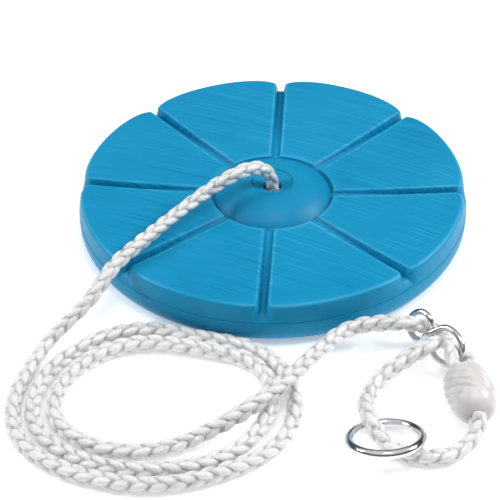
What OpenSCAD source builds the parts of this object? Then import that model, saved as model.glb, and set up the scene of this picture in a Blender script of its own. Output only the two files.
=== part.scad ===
// Disc rope swing: a round moulded seat on a braided rope, laid out with the rope coiled beside it.
// Frame: millimetres, +Z up, origin at the centre of the seat's flat base, the seat's hole along +Z.
// The seat's grooves lie on the X and Y axes and their diagonals, and the rope lies towards -Y.

/* [Seat] */
// Diameter of the seat over its parting line
seat_d = 280; // [278:0.5:281]
// Height of the pads' crown above the base
crown_h = 34; // [33:0.25:34.5]
// Height of the ridge round the hole
ridge_h = 37; // [36.5:0.25:38]
// Height of the grooves' floor
groove_z = 25.2; // [24.6:0.2:26]
// Width of the grooves' floor
groove_w = 3.8; // [3:0.2:5]
// Radius of the hub dome where it meets its channel
hub_r = 42.2; // [41:0.2:43]
// Diameter of the hole for the rope
hole_d = 13; // [12.6:0.2:14]
// Thickness of the moulded wall
wall = 3; // [2:0.5:4]

/* [Rope] */
// Diameter of the rope's smooth core tube
rope_d = 11; // [9:0.5:11]
// Diameter of the stopper knot
knot_d = 32; // [28:1:36]

/* [Washer] */
// Outer diameter of the steel washer
washer_d = 34; // [26:1:38]
// Thickness of the washer
washer_t = 1.6; // [1.2:0.2:1.8]

/* [Ring] */
// Outer diameter of the suspension ring
ring_d = 53; // [51:0.5:54]
// Thickness of the ring's wire
ring_wire = 6.2; // [5:0.2:6.2]

/* [Adjuster] */
// Thickness of the adjuster's wire
hook_wire = 4.4; // [3.6:0.2:4.4]

/* [Clamp] */
// Largest diameter of the rope clamp
clamp_d = 31.6; // [28:0.4:31.6]
// Length of the rope clamp
clamp_l = 39; // [38:0.5:42]

/* [View] */
// Sub-part to draw

/* [Hidden] */
blue = [0.13, 0.59, 0.78];
steel = [0.75, 0.76, 0.78];
white = [0.93, 0.93, 0.92];
seat_r = seat_d / 2;
pad_count = 8;
pad_in_r = 44;        // where the pads start outside the hub's channel
pad_in_z = 27.3;      // height of the pads there
rim_round = 6;        // rounding of the pads' outer edge
parting_z = 19.8;     // height of the parting line on the wall
base_round = 13.3;    // rounding between the wall and the base
dome_r = 32.8;        // radius of the hub dome's section
dome_x = 17;          // where the dome is level
recess_z = 27.5;      // ceiling of the recess under the hub
rope_r = rope_d / 2;
tight_r = 4.5;        // radius of the rope where the adjuster's eyes and the clamp squeeze it
tube_sides = 10;

// Route of the rope, from its knot through the seat, three loose turns on the ground, the adjuster
// and the ring, to the clamp.
lead_route = [[0, 0, 24.6], [0, 0, 35], [-4, -3, 47], [-16, -13, 56], [-31, -21, 53], [-47, -29, 45.5],
              [-66, -49, 41], [-90, -86, 41], [-103, -106, 39], [-116, -127, 29], [-129, -138, 19],
              [-143, -151, 10]];
coil_route = [[-152, -172, 6], [-158, -198, 6], [-157, -224, 6], [-147, -247, 6], [-126, -265, 6],
              [-99, -276, 6], [-72, -280, 6], [-44, -277, 6], [-18, -267, 6], [5, -252, 6], [20, -232, 6],
              [25, -207, 6], [20, -181, 6], [6, -159, 6], [-18, -145, 6], [-46, -138, 6], [-72, -133, 6],
              [-97, -137, 6], [-119, -151, 6], [-136, -171, 6], [-145, -196, 6], [-144, -222, 6],
              [-132, -243, 6], [-111, -258, 6], [-87, -266, 6], [-61, -267, 6], [-36, -262, 6],
              [-13, -249, 6], [3, -227, 6], [9, -202, 6], [4, -177, 6], [-11, -160, 6], [-34, -152, 6],
              [-58, -147, 6], [-83, -147, 6], [-105, -157, 6], [-122, -175, 6], [-131, -199, 6],
              [-129, -222, 6], [-114, -240, 6], [-92, -250, 6], [-66, -250, 6], [-42, -241, 7]];
run_route = [[-20, -229, 12], [0, -216, 18], [18, -195, 19], [31, -174, 18], [43, -155, 16],
             [57, -138, 15], [71, -134, 17], [85, -136, 20.5]];
loop_route = [[103, -160, 15.5], [92, -165.5, 10.5], [81, -175, 7], [74, -189, 6.5], [70.5, -205, 9.5],
              [72, -219, 13], [77, -231, 11], [87, -242, 7], [101, -248, 6], [118, -248, 6],
              [132, -240, 6.5], [140, -228, 9]];

// The adjuster lies round hook_at: hook_a runs along it, hook_n is the way the rope goes in.
hook_at = [113, -142.6, 16.8];
hook_a = unit([0.676, -0.737, -0.05]);
hook_n = unit(cross(hook_a, cross([0.72, 0.54, -0.44], hook_a)));
hook_w = cross(hook_a, hook_n);
eye_r = 9.6;          // radius of the adjuster's round eye
eye_at = -10.6;       // its centre along hook_a
long_eye = [13.8, 11.6];   // half length and half width of its long eye
long_eye_at = 14.6;   // its centre along hook_a
cross_gap = 2.4;      // half the distance between the two wires where they cross
bend_r = 11;          // the rope's bend behind the adjuster's waist
hook_route = concat(
    [for (t = [60 : 40 : 300]) [eye_at + eye_r * cos(t), eye_r * sin(t), 0]],
    [[-1, -0.5, -cross_gap]],
    [for (t = [125, 90, 55, 20, -20, -55, -90, -125])
        [long_eye_at + long_eye[0] * cos(t), long_eye[1] * sin(t), 0]],
    [[-1, 0.5, cross_gap]]);

function unit(v) = v / norm(v);
function on_hook(p) = hook_at + p[0] * hook_a + p[1] * hook_w + p[2] * hook_n;

bend_route = [on_hook([-16, 0, -11]),
              each [for (t = [-90 : 30 : 60]) on_hook([bend_r * sin(t) * 0.95, 0, bend_r * cos(t)])],
              on_hook([9.5, 0, 0]), on_hook([9, -1.5, -8])];
clamp_top = [132.6, -181.4, 16.3];
clamp_axis = unit([0.25, -0.968, 0]);
route = concat(lead_route, coil_route, run_route, bend_route, loop_route,
               [clamp_top + clamp_axis * (clamp_l - 2)]);
lead_end = len(lead_route);
coil_end = lead_end + len(coil_route) - 1;
run_end = coil_end + len(run_route);
bend_end = run_end + len(bend_route);
// The rope's end loop, out of the clamp, through the long eye and back
end_loop_route = [[129, -184.7, 19], [125.8, -170, 19.6], [125.2, -163, 19.6], [126.6, -157.6, 16.6],
                  [131.5, -155.8, 12.5], [136.5, -158, 10.5], [139, -164, 11], [138.3, -170.5, 12.3],
                  [138, -183.5, 13.2]];

ring_at = [83, -238, 10.9];
ring_turn = 12;       // turn of the ring's tilt axis about Z
ring_tilt = -18.5;    // tilt of the ring about that axis

// Points of an arc in a section, from angle a to angle b
function arc(c, r, a, b, n = 8) = [for (i = [0 : n]) c + r * [cos(a + (b - a) * i / n), sin(a + (b - a) * i / n)]];

function pad_z(r) = pad_in_z + (crown_h - pad_in_z) * pow((r - pad_in_r) / (seat_r - 9 - pad_in_r), 1.6);

// Tangent of a route at point i
function along(p, i, closed = false) =
    let (n = len(p))
    closed ? unit(p[(i + 1) % n] - p[(i + n - 1) % n]) : unit(p[min(i + 1, n - 1)] - p[max(i - 1, 0)]);

// Ring of tube points round route point i, with one corner towards the reference direction
function tube_ring(p, i, r, up, sides, closed = false) =
    let (t = along(p, i, closed), u = unit(cross(up, t)), v = cross(t, u))
    [for (k = [0 : sides - 1]) p[i] + r * (u * cos(90 + 360 * k / sides) + v * sin(90 + 360 * k / sides))];

// One point of a smooth curve through four points
function smooth(a, b, c, d, s) =
    0.5 * (2 * b + (c - a) * s + (2 * a - 5 * b + 4 * c - d) * s * s + (3 * b - a - 3 * c + d) * s * s * s);

// Closed curve through the points of p, with k steps between neighbours
function smooth_loop(p, k) =
    let (n = len(p))
    [for (i = [0 : n - 1]) for (j = [0 : k - 1])
        smooth(p[(i + n - 1) % n], p[i], p[(i + 1) % n], p[(i + 2) % n], j / k)];

// Open tube along route points first to last
module tube(p, first, last, r, up = [0, 0, 1], sides = tube_sides) {
    rings = last - first + 1;
    points = [for (i = [first : last]) each tube_ring(p, i, r, up, sides)];
    side_faces = [for (i = [0 : rings - 2]) for (k = [0 : sides - 1])
        let (m = (k + 1) % sides)
        each [[i * sides + k, (i + 1) * sides + k, i * sides + m],
              [i * sides + m, (i + 1) * sides + k, (i + 1) * sides + m]]];
    start_face = [for (k = [0 : sides - 1]) k];
    end_face = [for (k = [sides - 1 : -1 : 0]) (rings - 1) * sides + k];
    polyhedron(points, concat([start_face], side_faces, [end_face]));
}

// Tube along a closed route
module closed_tube(p, r, up, sides) {
    rings = len(p);
    points = [for (i = [0 : rings - 1]) each tube_ring(p, i, r, up, sides, true)];
    faces = [for (i = [0 : rings - 1]) for (k = [0 : sides - 1])
        let (m = (k + 1) % sides, j = (i + 1) % rings)
        each [[i * sides + k, j * sides + k, i * sides + m], [i * sides + m, j * sides + k, j * sides + m]]];
    polyhedron(points, faces);
}

// Section of the seat, from the hole over the hub, the pads and the rim to the base
function seat_section() = concat(
    [[hole_d / 2, recess_z], [hole_d / 2, 32.4], [14.5, 36]],
    arc([dome_x, ridge_h - dome_r], dome_r, 91, acos((hub_r - dome_x) / dome_r), 12),
    [[hub_r + 0.2, groove_z], [pad_in_r - 0.5, groove_z]],
    [for (i = [0 : 10]) let (r = pad_in_r + (seat_r - 9 - pad_in_r) * i / 10) [r, pad_z(r)]],
    arc([seat_r - 8.8, crown_h - rim_round], rim_round, 85, 0),
    [[seat_r - 0.4, parting_z + 0.6], [seat_r - 0.7, parting_z], [seat_r, parting_z - 0.6]],
    arc([seat_r - base_round, base_round], base_round, 0, -90),
    [[50, 0], [46, 3], [38, 17], [30, 24], [20, recess_z]]);

// Air space inside the moulding
function cavity_section() = concat(
    [[50 + wall, wall], [seat_r - base_round, wall]],
    arc([seat_r - base_round, base_round], base_round - wall, -90, 0),
    [[seat_r - wall - 1, groove_z - wall], [46 + wall, groove_z - wall]]);

// Wedge where a groove opens out through the rim, from the groove's floor down to the parting line
module groove_end() {
    top_z = crown_h + 6;
    floor_half = groove_w / 2;
    corners = concat(
        [for (p = [[-floor_half, groove_z], [floor_half, groove_z], [5.4, top_z], [-5.4, top_z]])
            [seat_r - 6, p[0], p[1]]],
        [for (p = [[-8.6, parting_z - 0.4], [8.6, parting_z - 0.4], [12, top_z], [-12, top_z]])
            [seat_r + 1, p[0], p[1]]]);
    polyhedron(corners, [[0, 3, 2], [0, 2, 1], [4, 5, 6], [4, 6, 7], [0, 1, 5], [0, 5, 4],
                         [1, 2, 6], [1, 6, 5], [2, 3, 7], [2, 7, 6], [3, 0, 4], [3, 4, 7]]);
}

// Straight groove from the hub's channel to the rim
module groove() {
    half = groove_w / 2;
    translate([hub_r + 0.6, 0, 0]) rotate([90, 0, 90]) linear_extrude(seat_r - hub_r + 1)
        polygon([[-half, groove_z], [half, groove_z], [half + 1.8, groove_z + 3.6], [half + 3.2, groove_z + 6],
                 [half + 3.6, crown_h + 6], [-half - 3.6, crown_h + 6], [-half - 3.2, groove_z + 6],
                 [-half - 1.8, groove_z + 3.6]]);
}

module seat_shell() {
    color(blue) difference() {
        rotate_extrude($fn = 128) polygon(seat_section());
        rotate_extrude($fn = 128) polygon(cavity_section());
        for (i = [0 : pad_count - 1]) rotate(i * 360 / pad_count) {
            groove();
            groove_end();
        }
    }
}

module washer() {
    color(steel) translate([0, 0, recess_z - 0.35 - washer_t]) difference() {
        cylinder(d = washer_d, h = washer_t, $fn = 64);
        translate([0, 0, -1]) cylinder(d = hole_d, h = washer_t + 2, $fn = 48);
    }
}

// Stopper knot with its short tail, both closed solids of the outer shape
module rope_knot() {
    knot_h = 22.8;
    color(white) {
        rotate_extrude($fn = 48) intersection() {
            translate([0, 13.9]) scale([knot_d / 24, 1]) circle(12, $fn = 48);
            translate([0, 24.6 - knot_h]) square([knot_d, knot_h]);
        }
        translate([10, 7, 9]) rotate([0, 78, 35]) cylinder(r = rope_r, h = 17, $fn = 24);
    }
}

module rope_lead() {
    color(white) tube(route, 0, lead_end, rope_r, [1, -1, 0]);
}

module rope_coil() {
    color(white) tube(route, lead_end, coil_end, rope_r);
}

module rope_run() {
    color(white) tube(route, coil_end, run_end, rope_r);
}

module rope_bend() {
    color(white) tube(route, run_end, bend_end, tight_r);
}

module rope_ring_loop() {
    color(white) tube(route, bend_end, len(route) - 1, rope_r);
}

module rope_end_loop() {
    color(white) tube(end_loop_route, 0, len(end_loop_route) - 1, tight_r);
}

module adjuster_hook() {
    wire = [for (p = smooth_loop(hook_route, 4)) on_hook(p)];
    color(steel) closed_tube(wire, hook_wire / 2, hook_n, 12);
}

module suspension_ring() {
    color(steel) translate(ring_at) rotate([0, 0, ring_turn]) rotate([ring_tilt, 0, 0])
        rotate_extrude($fn = 96) translate([(ring_d - ring_wire) / 2, 0]) circle(d = ring_wire, $fn = 32);
}

// Egg-shaped clamp, blunt at both ends where the rope goes in
module rope_clamp() {
    end_r = 8;
    half = clamp_l / 2;
    section = [for (i = [0 : 16]) let (s = -1 + i / 8)
        [end_r + (clamp_d / 2 - end_r) * sqrt(1 - s * s) + (i < 8 ? 2.4 * abs(s) : 0), half * (1 + s)]];
    tilt = acos(clamp_axis[2]);
    turn = atan2(clamp_axis[1], clamp_axis[0]);
    color(white) translate(clamp_top) rotate([0, tilt, turn])
        rotate_extrude($fn = 64) polygon(concat([[0, 0]], section, [[0, clamp_l]]));
}

seat_shell();
washer();
rope_knot();
rope_lead();
rope_coil();
rope_run();
rope_bend();
rope_ring_loop();
rope_end_loop();
adjuster_hook();
suspension_ring();
rope_clamp();
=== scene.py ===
"""Disc rope swing: a grooved round seat on a braided rope, with adjuster, ring and clamp.

Metres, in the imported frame: +Z up, origin at the centre of the seat's flat base.
"""
import math

import bpy
import numpy as np
from mathutils import Matrix, Vector


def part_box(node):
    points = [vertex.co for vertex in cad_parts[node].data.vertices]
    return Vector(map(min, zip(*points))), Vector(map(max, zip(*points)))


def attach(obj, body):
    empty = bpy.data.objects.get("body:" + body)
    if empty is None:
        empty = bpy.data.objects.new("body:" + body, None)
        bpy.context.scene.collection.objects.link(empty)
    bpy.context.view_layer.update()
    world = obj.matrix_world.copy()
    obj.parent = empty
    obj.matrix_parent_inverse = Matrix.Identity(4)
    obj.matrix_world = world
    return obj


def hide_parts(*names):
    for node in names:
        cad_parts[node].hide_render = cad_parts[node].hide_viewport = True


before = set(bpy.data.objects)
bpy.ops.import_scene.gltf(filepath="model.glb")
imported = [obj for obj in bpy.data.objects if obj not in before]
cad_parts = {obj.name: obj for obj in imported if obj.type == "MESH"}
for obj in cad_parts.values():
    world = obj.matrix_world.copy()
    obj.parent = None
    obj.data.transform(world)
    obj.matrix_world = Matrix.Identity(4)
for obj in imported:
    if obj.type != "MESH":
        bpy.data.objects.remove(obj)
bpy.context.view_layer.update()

MM = 0.001
SEAT_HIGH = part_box("seat_shell")[1]
SEAT_R = SEAT_HIGH[0] / MM          # outer radius of the seat, over its parting line
RIDGE_Z = SEAT_HIGH[2] / MM         # top of the ridge round the hole

# Rope route, repeated from the CAD, in millimetres
LEAD = [(0, 0, 24.6), (0, 0, 35), (-4, -3, 47), (-16, -13, 56), (-31, -21, 53), (-47, -29, 45.5),
        (-66, -49, 41), (-90, -86, 41), (-103, -106, 39), (-116, -127, 29), (-129, -138, 19),
        (-143, -151, 10)]
COIL = [(-152, -172, 6), (-158, -198, 6), (-157, -224, 6), (-147, -247, 6), (-126, -265, 6),
        (-99, -276, 6), (-72, -280, 6), (-44, -277, 6), (-18, -267, 6), (5, -252, 6), (20, -232, 6),
        (25, -207, 6), (20, -181, 6), (6, -159, 6), (-18, -145, 6), (-46, -138, 6), (-72, -133, 6),
        (-97, -137, 6), (-119, -151, 6), (-136, -171, 6), (-145, -196, 6), (-144, -222, 6),
        (-132, -243, 6), (-111, -258, 6), (-87, -266, 6), (-61, -267, 6), (-36, -262, 6),
        (-13, -249, 6), (3, -227, 6), (9, -202, 6), (4, -177, 6), (-11, -160, 6), (-34, -152, 6),
        (-58, -147, 6), (-83, -147, 6), (-105, -157, 6), (-122, -175, 6), (-131, -199, 6),
        (-129, -222, 6), (-114, -240, 6), (-92, -250, 6), (-66, -250, 6), (-42, -241, 7)]
RUN = [(-20, -229, 12), (0, -216, 18), (18, -195, 19), (31, -174, 18), (43, -155, 16),
       (57, -138, 15), (71, -134, 17), (85, -136, 20.5)]
RING_LOOP = [(103, -160, 15.5), (92, -165.5, 10.5), (81, -175, 7), (74, -189, 6.5), (70.5, -205, 9.5),
             (72, -219, 13), (77, -231, 11), (87, -242, 7), (101, -248, 6), (118, -248, 6),
             (132, -240, 6.5), (140, -228, 9)]
END_LOOP = [(129, -184.7, 19), (125.8, -170, 19.6), (125.2, -163, 19.6), (126.6, -157.6, 16.6),
            (131.5, -155.8, 12.5), (136.5, -158, 10.5), (139, -164, 11), (138.3, -170.5, 12.3),
            (138, -183.5, 13.2)]


def unit(v):
    v = np.asarray(v, float)
    return v / np.linalg.norm(v)


# Adjuster and clamp, placed as in the CAD
HOOK_AT = np.array([113, -142.6, 16.8])
HOOK_A = unit([0.676, -0.737, -0.05])
HOOK_N = unit(np.cross(HOOK_A, np.cross([0.72, 0.54, -0.44], HOOK_A)))
HOOK_W = np.cross(HOOK_A, HOOK_N)
HOOK_WIRE = 4.4
BEND_R = 11
CLAMP_TOP = np.array([132.6, -181.4, 16.3])
CLAMP_AXIS = unit([0.25, -0.968, 0])
CLAMP_L = 39
CLAMP_R = 15.8
RING_AT = np.array([83, -238, 10.9])
RING_TURN = 12
RING_TILT = -18.5
RING_R = 23.4
RING_WIRE = 6.2


def on_hook(a, w, n):
    return HOOK_AT + a * HOOK_A + w * HOOK_W + n * HOOK_N


BEND = [on_hook(-16, 0, -11)]
for degrees in range(-90, 61, 30):
    turn = math.radians(degrees)
    BEND.append(on_hook(BEND_R * math.sin(turn) * 0.95, 0, BEND_R * math.cos(turn)))
BEND += [on_hook(9.5, 0, 0), on_hook(9, -1.5, -8)]
ROUTE = LEAD + COIL + RUN + BEND + RING_LOOP + [CLAMP_TOP + CLAMP_AXIS * (CLAMP_L - 2)]

ROPE_R = 6.0            # radius over the braid's crowns
ROPE_STEP = 0.8         # distance between the sections of its mesh
ROPE_LEAD = 23.0        # length in which a strand goes once round
STRANDS = 2             # strands each way
ROPE_TWIST = 460.0      # length in which the whole braid turns once
YARN = 2.3              # width of the yarns in a strand
YARN_DEPTH = 0.42       # depth of the furrows between them
LAY_R = 4.8             # radius at which the strands' slant is taken
CORE_R = 2.1            # radius at a strand's edge, halfway between over and under
CROWN = 2.6             # height of a strand's rounded back
WAVE = 1.3              # how far a strand rises and falls as it passes over and under
STRAND_HALF = 4.7       # half the width of a strand


# ---------------------------------------------------------------- curves and meshes

def smooth_curve(points, step):
    """Evenly spaced points of a natural cubic spline through the given ones, step apart."""
    p = np.array([list(q) for q in points], float)
    n = len(p)
    t = np.concatenate([[0], np.cumsum(np.linalg.norm(np.diff(p, axis=0), axis=1))])
    h = np.diff(t)
    a = np.eye(n)
    b = np.zeros((n, 3))
    for i in range(1, n - 1):
        a[i, i - 1], a[i, i], a[i, i + 1] = h[i - 1], 2 * (h[i - 1] + h[i]), h[i]
        b[i] = 6 * ((p[i + 1] - p[i]) / h[i] - (p[i] - p[i - 1]) / h[i - 1])
    m = np.linalg.solve(a, b)
    s = np.linspace(0, t[-1], int(t[-1] / 0.5))
    k = np.clip(np.searchsorted(t, s, side="right") - 1, 0, n - 2)
    u = (s - t[k])[:, None]
    hk = h[k][:, None]
    q = (m[k] * (hk - u) ** 3 + m[k + 1] * u ** 3) / (6 * hk)
    q += (p[k] / hk - m[k] * hk / 6) * (hk - u) + (p[k + 1] / hk - m[k + 1] * hk / 6) * u
    run = np.concatenate([[0], np.cumsum(np.linalg.norm(np.diff(q, axis=0), axis=1))])
    even = np.linspace(0, run[-1], int(round(run[-1] / step)) + 1)
    return np.stack([np.interp(even, run, q[:, c]) for c in range(3)], axis=1)


def closed_curve(points, steps):
    """Closed smooth curve through the points."""
    p = np.array([list(q) for q in points], float)
    n = len(p)
    out = []
    for i in range(n):
        a, b, c, d = p[i - 1], p[i], p[(i + 1) % n], p[(i + 2) % n]
        for s in np.arange(steps) / steps:
            out.append(0.5 * (2 * b + (c - a) * s + (2 * a - 5 * b + 4 * c - d) * s * s
                              + (3 * b - a - 3 * c + d) * s ** 3))
    return np.array(out)


def carried_frames(q, closed=False):
    """Directions across a curve that turn with it and don't twist."""
    t = np.roll(q, -1, axis=0) - np.roll(q, 1, axis=0) if closed else np.gradient(q, axis=0)
    t /= np.linalg.norm(t, axis=1)[:, None]
    first = np.cross(t[0], [0.3, -0.5, 0.81])
    u = np.zeros_like(q)
    u[0] = first / np.linalg.norm(first)
    for i in range(1, len(q)):
        v = u[i - 1] - t[i] * (u[i - 1] @ t[i])
        u[i] = v / np.linalg.norm(v)
    return u, np.cross(t, u)


def grid_mesh(name, rings, closed_rings=False):
    """Mesh from rings of points: every ring is closed round, and the row of rings may be too."""
    count, sides = rings.shape[:2]
    verts = (rings.reshape(-1, 3) * MM).tolist()
    faces = []
    rows = count if closed_rings else count - 1
    for i in range(rows):
        j = (i + 1) % count
        for k in range(sides):
            m = (k + 1) % sides
            faces.append((i * sides + k, i * sides + m, j * sides + m, j * sides + k))
    if not closed_rings:
        faces.append(tuple(reversed(range(sides))))
        faces.append(tuple((count - 1) * sides + k for k in range(sides)))
    mesh = bpy.data.meshes.new(name)
    mesh.from_pydata(verts, [], faces)
    mesh.validate()
    mesh.update()
    mesh.polygons.foreach_set("use_smooth", [True] * len(mesh.polygons))
    piece = bpy.data.objects.new(name, mesh)
    bpy.context.scene.collection.objects.link(piece)
    return piece


def add_attribute(piece, name, values):
    layer = piece.data.attributes.new(name, "FLOAT", "POINT")
    layer.data.foreach_set("value", np.asarray(values, np.float32).ravel())


def braid(name, curve, size, phase=0.0, sides=56):
    """Braided rope along a curve: strands wind both ways and pass over and under each other.

    size is the rope's radius over its crowns, at each point of the curve, in millimetres.
    """
    u, v = carried_frames(curve)
    run = np.concatenate([[0], np.cumsum(np.linalg.norm(np.diff(curve, axis=0), axis=1))])
    theta = np.linspace(0, 2 * np.pi, sides, endpoint=False)[None, :]
    spin = (2 * np.pi / ROPE_LEAD * run)[:, None]
    phase = phase + (2 * np.pi / ROPE_TWIST * run)[:, None]
    pitch = 2 * np.pi / STRANDS
    slant = math.atan(2 * np.pi * LAY_R / ROPE_LEAD)
    best = np.full((len(run), sides), CORE_R - 0.3)
    across = np.zeros_like(best)
    along = np.zeros_like(best)
    tone = np.zeros_like(best)
    edge = np.ones_like(best)
    height = WAVE * np.cos(STRANDS * (theta - phase))
    rng = np.random.default_rng(7)
    shade = rng.uniform(0, 1, 2 * STRANDS)
    for way in (1, -1):
        offset = theta - phase - way * spin
        strand = np.round(offset / pitch)
        d = (offset - strand * pitch) * LAY_R * math.cos(slant)
        inside = np.clip(1 - (d / STRAND_HALF) ** 2, 0, 1)
        r = CORE_R + way * height + CROWN * np.sqrt(inside)
        r = r - YARN_DEPTH * inside * (1 - np.sqrt(np.abs(np.sin(np.pi * d / YARN))))
        r = np.where(inside > 0, r, 0)
        over = r > best
        best = np.where(over, r, best)
        across = np.where(over, d + 20 * way + 3 * strand, across)
        along = np.where(over, np.broadcast_to(run[:, None], r.shape), along)
        index = (strand.astype(int) % STRANDS) + (0 if way > 0 else STRANDS)
        tone = np.where(over, shade[index], tone)
        edge = np.where(over, 1 - inside, edge)
    rings = (curve[:, None, :]
             + (best * np.cos(theta))[..., None] * (u * (size / ROPE_R)[:, None])[:, None, :]
             + (best * np.sin(theta))[..., None] * (v * (size / ROPE_R)[:, None])[:, None, :])
    piece = grid_mesh(name, rings)
    add_attribute(piece, "across", across)
    add_attribute(piece, "along", along)
    add_attribute(piece, "tone", tone)
    # Height over the core and distance from a strand's middle, from which the rope's material paints
    # shade.
    add_attribute(piece, "depth", best / ROPE_R)
    add_attribute(piece, "edge", edge)
    return piece


def wire_rings(curve, radius, sides=24):
    """Rings of points round a closed curve."""
    u, v = carried_frames(curve, closed=True)
    theta = np.linspace(0, 2 * np.pi, sides, endpoint=False)
    return np.array([p + radius * (np.cos(theta)[:, None] * a + np.sin(theta)[:, None] * b)
                     for p, a, b in zip(curve, u, v)])


# ---------------------------------------------------------------- materials

def new_material(name):
    mat = bpy.data.materials.new(name)
    mat.use_nodes = True
    tree = mat.node_tree
    tree.nodes.clear()
    out = tree.nodes.new("ShaderNodeOutputMaterial")
    shader = tree.nodes.new("ShaderNodeBsdfPrincipled")
    tree.links.new(shader.outputs["BSDF"], out.inputs["Surface"])
    return mat, tree, shader


def ramp(tree, source, stops):
    made = tree.nodes.new("ShaderNodeValToRGB")
    elements = made.color_ramp.elements
    while len(elements) > 1:
        elements.remove(elements[-1])
    for i, (place, colour) in enumerate(stops):
        element = elements[0] if i == 0 else elements.new(place)
        element.position = place
        element.color = colour
    tree.links.new(source, made.inputs["Fac"])
    return made.outputs["Color"]


def scaled_coordinates(tree, scale):
    coords = tree.nodes.new("ShaderNodeTexCoord")
    mapping = tree.nodes.new("ShaderNodeMapping")
    mapping.inputs["Scale"].default_value = scale
    tree.links.new(coords.outputs["Object"], mapping.inputs["Vector"])
    return mapping.outputs["Vector"]


def noise(tree, vector, scale, detail=4.0, roughness=0.5):
    made = tree.nodes.new("ShaderNodeTexNoise")
    made.inputs["Scale"].default_value = scale
    made.inputs["Detail"].default_value = detail
    made.inputs["Roughness"].default_value = roughness
    tree.links.new(vector, made.inputs["Vector"])
    return made.outputs["Fac"]


def bump(tree, shader, height, strength, distance):
    made = tree.nodes.new("ShaderNodeBump")
    made.inputs["Strength"].default_value = strength
    made.inputs["Distance"].default_value = distance
    tree.links.new(height, made.inputs["Height"])
    tree.links.new(made.outputs["Normal"], shader.inputs["Normal"])


def attribute(tree, name):
    made = tree.nodes.new("ShaderNodeAttribute")
    made.attribute_name = name
    return made.outputs["Fac"]


def math_node(tree, kind, a, b=None):
    made = tree.nodes.new("ShaderNodeMath")
    made.operation = kind
    for i, value in enumerate((a, b)):
        if value is None:
            continue
        if isinstance(value, (int, float)):
            made.inputs[i].default_value = value
        else:
            tree.links.new(value, made.inputs[i])
    return made.outputs[0]


def seat_material():
    """Satin blue moulded plastic, with fine arched brush marks on the pads, painted highlights along the
    pads' edges and painted shade in the grooves and round the dome.
    """
    mat, tree, shader = new_material("seat_plastic")
    coords = tree.nodes.new("ShaderNodeTexCoord")
    split = tree.nodes.new("ShaderNodeSeparateXYZ")
    tree.links.new(coords.outputs["Object"], split.inputs[0])
    x = math_node(tree, "ADD", split.outputs["X"], 0.19)
    y = math_node(tree, "ADD", split.outputs["Y"], 0.46)
    far = math_node(tree, "SQRT", math_node(tree, "ADD", math_node(tree, "MULTIPLY", x, x),
                                            math_node(tree, "MULTIPLY", y, y)))
    way = math_node(tree, "ARCTAN2", y, x)
    both = tree.nodes.new("ShaderNodeCombineXYZ")
    tree.links.new(math_node(tree, "MULTIPLY", far, 620.0), both.inputs["X"])
    tree.links.new(math_node(tree, "MULTIPLY", way, 5.0), both.inputs["Y"])
    streaks = noise(tree, both.outputs[0], 1.0, 3.0, 0.6)
    broad = noise(tree, scaled_coordinates(tree, (1, 1, 1)), 14.0, 3.0)
    brushed = attribute(tree, "brushed")
    strong = math_node(tree, "MULTIPLY", math_node(tree, "SUBTRACT", streaks, 0.5), brushed)
    tone = math_node(tree, "ADD", math_node(tree, "MULTIPLY", strong, 0.65),
                     math_node(tree, "MULTIPLY", broad, 0.35))
    tone = math_node(tree, "ADD", tone, 0.33)
    # Painted highlight along the pads' edges and painted shade in the grooves and round the dome, read
    # from a mesh attribute.
    tone = math_node(tree, "ADD", tone, math_node(tree, "MULTIPLY", attribute(tree, "lip_highlight_crease_shade"), 0.20))
    colour = ramp(tree, tone, [(0.2, (0.001, 0.110, 0.240, 1)), (0.45, (0.003, 0.235, 0.440, 1)),
                               (0.6, (0.006, 0.265, 0.480, 1)), (0.85, (0.060, 0.390, 0.630, 1))])
    tree.links.new(colour, shader.inputs["Base Color"])
    rough = math_node(tree, "ADD", math_node(tree, "MULTIPLY", strong, 0.25), 0.40)
    tree.links.new(rough, shader.inputs["Roughness"])
    shader.inputs["Specular IOR Level"].default_value = 0.17
    grain = noise(tree, scaled_coordinates(tree, (1, 1, 1)), 900.0, 2.0)
    height = math_node(tree, "ADD", strong, math_node(tree, "MULTIPLY", grain, 0.12))
    bump(tree, shader, height, 0.22, 0.0005)
    return mat


def rope_material():
    """White glossy fibre strands, with painted shade between them and at their edges."""
    mat, tree, shader = new_material("rope_fibre")
    across = math_node(tree, "MULTIPLY", attribute(tree, "across"), 0.9)
    along = math_node(tree, "MULTIPLY", attribute(tree, "along"), 0.12)
    both = tree.nodes.new("ShaderNodeCombineXYZ")
    tree.links.new(across, both.inputs["X"])
    tree.links.new(along, both.inputs["Y"])
    fibre = noise(tree, both.outputs[0], 2.2, 3.0, 0.6)
    # Painted shade: darker where the surface sinks between the strands.
    depth = attribute(tree, "depth")
    blotch = noise(tree, scaled_coordinates(tree, (1, 1, 1)), 130.0, 3.0)
    tone = math_node(tree, "ADD", math_node(tree, "MULTIPLY", fibre, 0.72),
                     math_node(tree, "MULTIPLY", depth, 0.50))
    tone = math_node(tree, "ADD", tone, math_node(tree, "MULTIPLY", blotch, 0.35))
    # Painted shade towards each strand's edges.
    strand_edge_shade = math_node(tree, "POWER", attribute(tree, "edge"), 2.0)
    tone = math_node(tree, "SUBTRACT", tone, math_node(tree, "MULTIPLY", strand_edge_shade, 0.16))
    tone = math_node(tree, "ADD", tone, math_node(tree, "MULTIPLY", attribute(tree, "tone"), 0.06))
    colour = ramp(tree, tone, [(0.60, (0.25, 0.26, 0.265, 1)), (0.80, (0.45, 0.46, 0.46, 1)),
                               (1.0, (0.82, 0.82, 0.81, 1))])
    tree.links.new(colour, shader.inputs["Base Color"])
    shader.inputs["Roughness"].default_value = 0.22
    shader.inputs["Specular IOR Level"].default_value = 0.8
    shader.inputs["Subsurface Weight"].default_value = 0.08
    shader.inputs["Subsurface Radius"].default_value = (0.001, 0.001, 0.001)
    bump(tree, shader, fibre, 0.6, 0.0007)
    return mat


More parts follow.
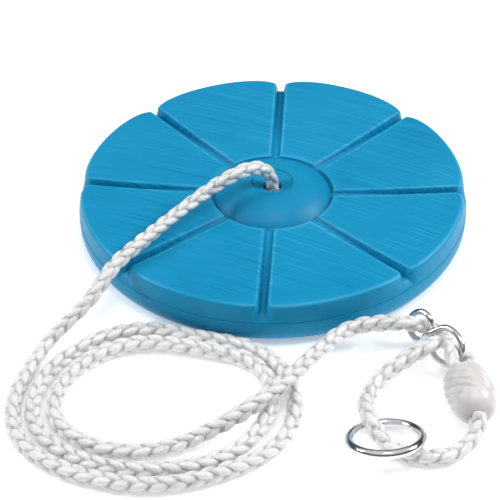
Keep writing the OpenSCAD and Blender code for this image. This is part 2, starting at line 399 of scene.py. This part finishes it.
def metal_material(name, colour, roughness, scratches):
    """Plated steel with faint drawing lines and small stains."""
    mat, tree, shader = new_material(name)
    stain = noise(tree, scaled_coordinates(tree, (1, 1, 1)), 220.0, 4.0)
    fine = noise(tree, scaled_coordinates(tree, (1, 1, 6)), 900.0, 3.0)
    light = ramp(tree, stain, [(0.3, tuple(0.86 * c for c in colour) + (1,)), (0.7, tuple(colour) + (1,))])
    tree.links.new(light, shader.inputs["Base Color"])
    shader.inputs["Metallic"].default_value = 1.0
    rough = math_node(tree, "ADD", math_node(tree, "MULTIPLY", fine, 0.12), roughness - 0.06)
    tree.links.new(rough, shader.inputs["Roughness"])
    bump(tree, shader, fine, scratches, 0.0002)
    return mat


def clamp_material():
    """Milky translucent plastic."""
    mat, tree, shader = new_material("clear_plastic")
    cloud = noise(tree, scaled_coordinates(tree, (1, 1, 1)), 90.0, 4.0)
    colour = ramp(tree, cloud, [(0.3, (0.60, 0.575, 0.565, 1)), (0.7, (0.72, 0.70, 0.69, 1))])
    tree.links.new(colour, shader.inputs["Base Color"])
    shader.inputs["Roughness"].default_value = 0.32
    shader.inputs["Subsurface Weight"].default_value = 0.6
    shader.inputs["Subsurface Radius"].default_value = (0.006, 0.006, 0.006)
    fine = noise(tree, scaled_coordinates(tree, (1, 1, 1)), 700.0, 2.0)
    bump(tree, shader, fine, 0.15, 0.0003)
    return mat


def paint(piece, mat):
    piece.data.materials.clear()
    piece.data.materials.append(mat)


# ---------------------------------------------------------------- camera and light

def make_camera():
    place = Vector((0.0644, -1.1463, 0.8727))
    look_at = Vector((-0.0147, -0.0346, 0.0))
    roll = math.radians(-1.20)
    ahead = (look_at - place).normalized()
    right = ahead.cross(Vector((0, 0, 1))).normalized()
    up = right.cross(ahead)
    right_2 = math.cos(roll) * right + math.sin(roll) * up
    up_2 = -math.sin(roll) * right + math.cos(roll) * up
    data = bpy.data.cameras.new("camera")
    data.sensor_width = 36.0
    data.lens = 141.84
    data.clip_start, data.clip_end = 0.05, 20
    camera = bpy.data.objects.new("camera", data)
    bpy.context.scene.collection.objects.link(camera)
    turn = Matrix((right_2, up_2, -ahead)).transposed().to_4x4()
    camera.matrix_world = Matrix.Translation(place) @ turn
    bpy.context.scene.camera = camera


def area_light(name, place, target, size, power, colour=(1, 1, 1)):
    data = bpy.data.lights.new(name, "AREA")
    data.shape = "DISK"
    data.size = size
    data.energy = power
    data.color = colour
    light = bpy.data.objects.new(name, data)
    light.location = place
    light.rotation_euler = (Vector(target) - Vector(place)).to_track_quat("-Z", "Y").to_euler()
    bpy.context.scene.collection.objects.link(light)


def make_light():
    world = bpy.data.worlds.new("studio")
    bpy.context.scene.world = world
    world.use_nodes = True
    tree = world.node_tree
    coords = tree.nodes.new("ShaderNodeTexCoord")
    split = tree.nodes.new("ShaderNodeSeparateXYZ")
    tree.links.new(coords.outputs["Generated"], split.inputs[0])
    dome = ramp(tree, split.outputs["Z"], [(0.0, (0.10, 0.10, 0.11, 1)), (0.45, (0.07, 0.07, 0.08, 1)),
                                           (0.68, (0.6, 0.6, 0.6, 1)), (1.0, (0.85, 0.85, 0.85, 1))])
    tree.links.new(dome, tree.nodes["Background"].inputs[0])
    area_light("key", (1.35, 0.15, 1.05), (0, -0.05, 0), 0.6, 17)
    area_light("fill", (-1.35, -0.05, 1.0), (0, -0.1, 0), 0.6, 11)
    area_light("top", (0.1, -0.55, 1.8), (0, -0.05, 0), 0.5, 6.5)
    bpy.context.scene.view_settings.view_transform = "Standard"


def make_floor():
    mesh = bpy.data.meshes.new("floor")
    mesh.from_pydata([(-6, -6, 0), (6, -6, 0), (6, 6, 0), (-6, 6, 0)], [], [(0, 1, 2, 3)])
    floor = bpy.data.objects.new("floor", mesh)
    bpy.context.scene.collection.objects.link(floor)
    floor.location.z = -0.0005
    mat, tree, shader = new_material("floor_paper")
    shader.inputs["Base Color"].default_value = (0.93, 0.93, 0.93, 1)
    shader.inputs["Roughness"].default_value = 0.9
    shader.inputs["Emission Color"].default_value = (1, 1, 1, 1)
    shader.inputs["Emission Strength"].default_value = 0.28
    paint(floor, mat)


# ---------------------------------------------------------------- rope

def make_ropes():
    fibre = rope_material()
    curve = smooth_curve(ROUTE, ROPE_STEP)
    from_hook = np.min(np.linalg.norm(curve[:, None] - np.array(BEND)[None, 1:8], axis=2), axis=1)
    loose = np.clip((from_hook - 4) / 16, 0, 1)
    size = ROPE_R * (0.88 + 0.12 * loose * loose * (3 - 2 * loose))     # squeezed in the adjuster
    run = np.linspace(0, 1, len(curve)) * ROPE_STEP * len(curve)
    size *= 0.9 + 0.1 * np.clip((run - 240) / 120, 0, 1)                # drawn thinner over the seat
    rope = braid("main_rope", curve, size, phase=0.35)
    paint(rope, fibre)
    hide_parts("rope_lead", "rope_coil", "rope_run", "rope_bend", "rope_ring_loop")
    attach(rope, "rope")

    curve = smooth_curve(END_LOOP, ROPE_STEP)
    size = np.full(len(curve), ROPE_R * 0.84)
    end = braid("end_loop_rope", curve, size, phase=0.9)
    paint(end, fibre)
    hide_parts("rope_end_loop")
    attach(end, "rope")
    return fibre


def make_knot(fibre):
    """Barrel knot: the rope goes down the middle and winds back round itself to a short tail."""
    points = [(0, 0, 24.2), (1.2, 0.5, 19), (2.2, 0.5, 12)]
    turns = 1.9
    for i in range(22):
        t = i / 21
        angle = math.radians(-40 + 360 * turns * t)
        out = 9.6 - 3.2 * max(0, 0.25 - t) * 4
        points.append((out * math.cos(angle), out * math.sin(angle), 7.6 + 11.4 * t))
    curve = smooth_curve(points, ROPE_STEP)
    knot = braid("stopper_knot", curve, np.full(len(curve), 5.3), phase=0.2, sides=40)
    tail = smooth_curve([(6, 3, 9), (12, 7.5, 8.6), (19, 12.6, 7.8), (24.6, 16.4, 7.1)], ROPE_STEP)
    size = np.linspace(5.3, 4.9, len(tail))
    end = braid("knot_tail", tail, size, phase=0.5, sides=40)
    for piece in (knot, end):
        paint(piece, fibre)
        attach(piece, "rope")
    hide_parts("rope_knot")


# ---------------------------------------------------------------- seat

GROOVE_Z = 25.2
PAD_IN_R = 43.6
PARTING_Z = 19.8
BASE_ROUND = 13.3       # rounding between the wall and the base
PADS = 8
GROOVE_HALF = 1.6       # half the width of a groove's floor
GROOVE_WALL = 2.4       # how far its wall leans back
RIM_ROUND = 3.4         # rounding of a pad's outer edge


def hub_profile():
    """Radius and height from the hole's lower edge over the dome to the channel round it."""
    points = [(6.5, 27.5), (6.5, 29), (6.5, 31.4), (6.62, 32.0), (6.95, 32.45), (7.5, 32.75)]
    points += [(9.6, 33.9), (11.8, 34.9), (13.4, 35.45), (14.0, 35.55), (14.35, 35.65), (14.55, 35.95)]
    points += [(14.8, 36.6), (15.2, 36.95), (15.8, 37.0)]
    dome_r, dome_x = 32.8, 17.0
    for degrees in np.linspace(90, 41.5, 18):
        turn = math.radians(degrees)
        points.append((dome_x + dome_r * math.cos(turn), RIDGE_Z - dome_r + dome_r * math.sin(turn)))
    points += [(42.0, 25.55), (42.35, 25.28), (42.7, 25.2), (43.2, 25.2)]
    return points


def under_profile():
    """Radius and height from the parting line down the wall, over the base and into the recess."""
    points = [(SEAT_R - 0.35, PARTING_Z + 0.35), (SEAT_R - 0.75, PARTING_Z + 0.1),
              (SEAT_R - 0.75, PARTING_Z - 0.1), (SEAT_R - 0.15, PARTING_Z - 0.4),
              (SEAT_R, PARTING_Z - 0.8), (SEAT_R, 17), (SEAT_R, 15)]
    for degrees in np.linspace(0, -90, 12):
        turn = math.radians(degrees)
        points.append((SEAT_R - BASE_ROUND + BASE_ROUND * math.cos(turn),
                       BASE_ROUND + BASE_ROUND * math.sin(turn)))
    points += [(r, 0) for r in (124, 115, 100, 85, 70, 60, 54)]
    points += [(50.5, 0.0), (49.2, 0.25), (48.0, 0.9), (46.6, 2.4), (44.5, 6), (41, 12), (38.6, 16),
               (36.5, 19), (33, 22.2), (29, 24.6), (24, 26.4), (19, 27.4), (12, 27.5), (7.6, 27.5)]
    return points


def pad_height(r, off):
    """Height of a pad's top at radius r, off degrees from the groove beside it."""
    middle = 27.3 + 6.7 * np.clip((r - 44) / 87, 0, 1.1) ** 1.6
    side = 27.3 + 4.9 * np.clip((r - 44) / 87, 0, 1) ** 1.3
    share = 1 - (1 - np.clip(off / 22.5, 0, 1)) ** 3.2
    return side + (middle - side) * share


def rise(t):
    """From the groove's floor, 0, to the pad's top, 1."""
    return np.sin(np.pi / 2 * np.clip(t, 0, 1)) ** 1.5


def seat_rings():
    """Sections of the whole seat, one for each column round it, with how much painted highlight each point
    takes on a pad's edges and how much painted shade in the grooves and round the dome, from 0 to 1."""
    near = [0, 0.9, 1.4, 1.65, 1.85, 2.05, 2.25, 2.5, 2.75, 3.0, 3.3, 3.6, 3.9, 4.3, 4.8, 5.4, 6.2, 7.2,
            8.4, 9.8, 11.5, 13.5]
    spread = np.linspace(0, 1, 9)[1:]
    columns = [("near", d) for d in near] + [("far", s) for s in spread]
    half_sector = 180 / PADS
    hub = np.array(hub_profile())
    under = np.array(under_profile())
    inner_steps = np.array([0, 0.18, 0.4, 0.65, 0.9, 1.2, 1.6])
    top_share = np.linspace(0, 1, 22)[1:]
    rim_share = np.linspace(0, 1, 19)[1:]
    sections = []
    for g in range(PADS):
        for side in (1, -1):
            order = columns if side > 0 else columns[::-1]
            for kind, value in order:
                if side < 0 and (kind, value) in (("near", 0), ("far", 1.0)):
                    continue
                sections.append((g + (0 if side > 0 else 1), side, kind, value))
    rings, lip_highlights, crease_shades = [], [], []
    for g, side, kind, value in sections:
        base = math.radians(360 / PADS * g)
        reach = value if kind == "near" else near[-1]
        outer_off = math.degrees(math.asin(reach / 132))
        off = outer_off if kind == "near" else outer_off + (half_sector - outer_off) * value
        d = value if kind == "near" else 60.0
        points = [tuple(p) for p in hub]
        # Painted highlight on the pads' edges and painted shade in the grooves and round the dome, 0 to 1
        # at each point.
        lip_highlight = [0.0] * len(hub)
        crease_shade = [float(z < 26.5) for r, z in hub]
        top = rise((d - GROOVE_HALF) / GROOVE_WALL)
        # Painted highlight where a groove's wall meets the pad's top, painted shade at the wall's foot.
        lip_highlight_here = math.exp(-((d - GROOVE_HALF - GROOVE_WALL - 0.4) / 0.9) ** 2)
        crease_shade_here = math.exp(-((d - GROOVE_HALF - 0.5) / 0.7) ** 2)
        for s in inner_steps:
            r = PAD_IN_R + s
            up = (1 - (1 - min(1, s / 1.25)) ** 2) ** 0.5 * top
            points.append((r, GROOVE_Z + (pad_height(r, off) - GROOVE_Z) * up))
            lip_highlight.append(top * math.exp(-((s - 1.3) / 0.6) ** 2))
            crease_shade.append(max(crease_shade_here, math.exp(-(s / 0.5) ** 2)))
        edge_r = 138.9 - 6.0 * math.exp(-off / 2.6)     # drawn in at the pad's corners
        start = PAD_IN_R + inner_steps[-1]
        pad_start = edge_r - RIM_ROUND
        groove_start = 133.0
        for s in top_share:
            pad_r = start + (pad_start - start) * s
            groove_r = start + (groove_start - start) * s
            r = groove_r + (pad_r - groove_r) * top
            z = GROOVE_Z + (pad_height(pad_r, off) - GROOVE_Z) * top
            points.append((r, z))
            lip_highlight.append(max(lip_highlight_here, top * math.exp(-((pad_r - start) / 0.9) ** 2)))
            crease_shade.append(crease_shade_here)
        edge_z = pad_height(pad_start, off)
        for s in rim_share:
            if s <= 0.5:
                turn = math.radians(90 * (1 - s * 2))
                pad_p = (pad_start + RIM_ROUND * math.cos(turn),
                         edge_z - RIM_ROUND + RIM_ROUND * math.sin(turn))
            else:
                share = (s - 0.5) * 2
                pad_p = (edge_r + (SEAT_R - 0.35 - edge_r) * share,
                         edge_z - RIM_ROUND + (PARTING_Z + 0.5 - edge_z + RIM_ROUND) * share)
            groove_p = (groove_start + (SEAT_R - 0.35 - groove_start) * s,
                        GROOVE_Z + (PARTING_Z + 0.5 - GROOVE_Z) * s ** 1.7)
            mixed = rise((d - GROOVE_HALF - 3.2 * s * s) / (GROOVE_WALL + 3.0 * s))
            points.append((groove_p[0] + (pad_p[0] - groove_p[0]) * mixed,
                           groove_p[1] + (pad_p[1] - groove_p[1]) * mixed))
            lip_highlight.append(mixed * math.exp(-((s - 0.2) / 0.13) ** 2))
            crease_shade.append(crease_shade_here * (1 - s) ** 2)
        points += [tuple(p) for p in under]
        lip_highlights.append(lip_highlight + [0.0] * len(under))
        crease_shades.append(crease_shade + [0.0] * len(under))
        ring = []
        for r, z in points:
            shrink = min(1.0, r / 44)
            near_angle = math.asin(min(1, reach * shrink / r))
            angle = near_angle
            if kind == "far":
                angle = near_angle + (math.radians(half_sector) - near_angle) * value
            angle = base + side * angle
            ring.append((r * math.cos(angle), r * math.sin(angle), z))
        rings.append(ring)
    top_count = len(inner_steps) + len(top_share)
    return np.array(rings), np.array(lip_highlights), np.array(crease_shades), len(hub), top_count


def make_seat():
    rings, lip_highlights, crease_shades, hub_count, top_count = seat_rings()
    seat = grid_mesh("seat_moulding", rings, closed_rings=True)
    brushed = np.zeros(rings.shape[:2])
    brushed[:, hub_count + 7:hub_count + top_count - 1] = 1.0
    brushed[rings[..., 2] < GROOVE_Z + 1.2] = 0.25
    brushed[:, :hub_count] = 0.1
    add_attribute(seat, "brushed", brushed)
    # Painted highlight on the pads' edges, less painted shade in the grooves and round the dome.
    add_attribute(seat, "lip_highlight_crease_shade", lip_highlights - 0.9 * crease_shades)
    seat.data.flip_normals()
    paint(seat, seat_material())
    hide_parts("seat_shell")
    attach(seat, "seat")


# ---------------------------------------------------------------- hardware

def make_adjuster(mat):
    eye_r, eye_at, long_eye, long_eye_at, gap = 9.6, -10.6, (13.8, 11.6), 14.6, 2.4
    points = []
    for degrees in range(60, 301, 40):
        t = math.radians(degrees)
        points.append(on_hook(eye_at + eye_r * math.cos(t), eye_r * math.sin(t), 0))
    points.append(on_hook(-1, -0.5, -gap))
    for degrees in (125, 90, 55, 20, -20, -55, -90, -125):
        t = math.radians(degrees)
        points.append(on_hook(long_eye_at + long_eye[0] * math.cos(t), long_eye[1] * math.sin(t), 0))
    points.append(on_hook(-1, 0.5, gap))
    curve = closed_curve(points, 12)
    hook = grid_mesh("wire_adjuster", wire_rings(curve, HOOK_WIRE / 2), closed_rings=True)
    paint(hook, mat)
    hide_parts("adjuster_hook")
    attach(hook, "adjuster")
    return hook


def make_ring(mat):
    turn = math.radians(RING_TURN)
    tilt = math.radians(RING_TILT)
    a = np.array([math.cos(turn), math.sin(turn), 0])
    b = np.array([-math.sin(turn) * math.cos(tilt), math.cos(turn) * math.cos(tilt), math.sin(tilt)])
    t = np.linspace(0, 2 * np.pi, 160, endpoint=False)[:, None]
    curve = RING_AT + RING_R * (np.cos(t) * a + np.sin(t) * b)
    rings = wire_rings(curve, RING_WIRE / 2, sides=28)
    ring = grid_mesh("plated_ring", rings, closed_rings=True)
    paint(ring, mat)
    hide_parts("suspension_ring")
    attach(ring, "ring")
    return ring


RIB_PITCH = 6.4         # spacing of the clamp's grip ribs


def make_clamp(mat):
    """Egg-shaped clamp with slanting grip ribs round its upper part."""
    side = unit(np.cross(CLAMP_AXIS, [0, 0, 1]))
    up = np.cross(side, CLAMP_AXIS)
    count, sides = 110, 96
    theta = np.linspace(0, 2 * np.pi, sides, endpoint=False)
    rings = []
    end_r = 7.6
    for i in range(count):
        s = -1 + 2 * i / (count - 1)
        r = end_r + (CLAMP_R - end_r) * math.sqrt(max(0, 1 - s * s)) + (2.4 * abs(s) if s < 0 else 0)
        fade = min(1, (1 - abs(s)) * 5) * (1 if s < 0.35 else max(0, 1 - (s - 0.35) * 5))
        along = CLAMP_L * (1 + s) / 2
        rib = np.abs(np.sin(np.pi * (along / RIB_PITCH - 10 * theta / (2 * np.pi)))) ** 0.7
        rr = np.minimum(r - 0.1 - 1.5 * (1 - rib) * fade, CLAMP_R)
        rings.append(CLAMP_TOP + CLAMP_AXIS * along + rr[:, None] * (np.cos(theta)[:, None] * side
                                                                     + np.sin(theta)[:, None] * up))
    clamp = grid_mesh("egg_clamp", np.array(rings))
    paint(clamp, mat)
    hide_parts("rope_clamp")
    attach(clamp, "rope")
    return clamp


def make_washer(mat):
    paint(bpy.data.objects["washer"], mat)


# ---------------------------------------------------------------- the whole

make_camera()
zinc = metal_material("zinc_steel", (0.66, 0.67, 0.69), 0.16, 0.2)
plated = metal_material("plated_steel", (0.80, 0.81, 0.83), 0.10, 0.1)
hook = make_adjuster(zinc)
ring = make_ring(plated)
clamp = make_clamp(clamp_material())
make_washer(zinc)
fibre = make_ropes()
make_knot(fibre)
make_seat()
make_floor()
make_light()
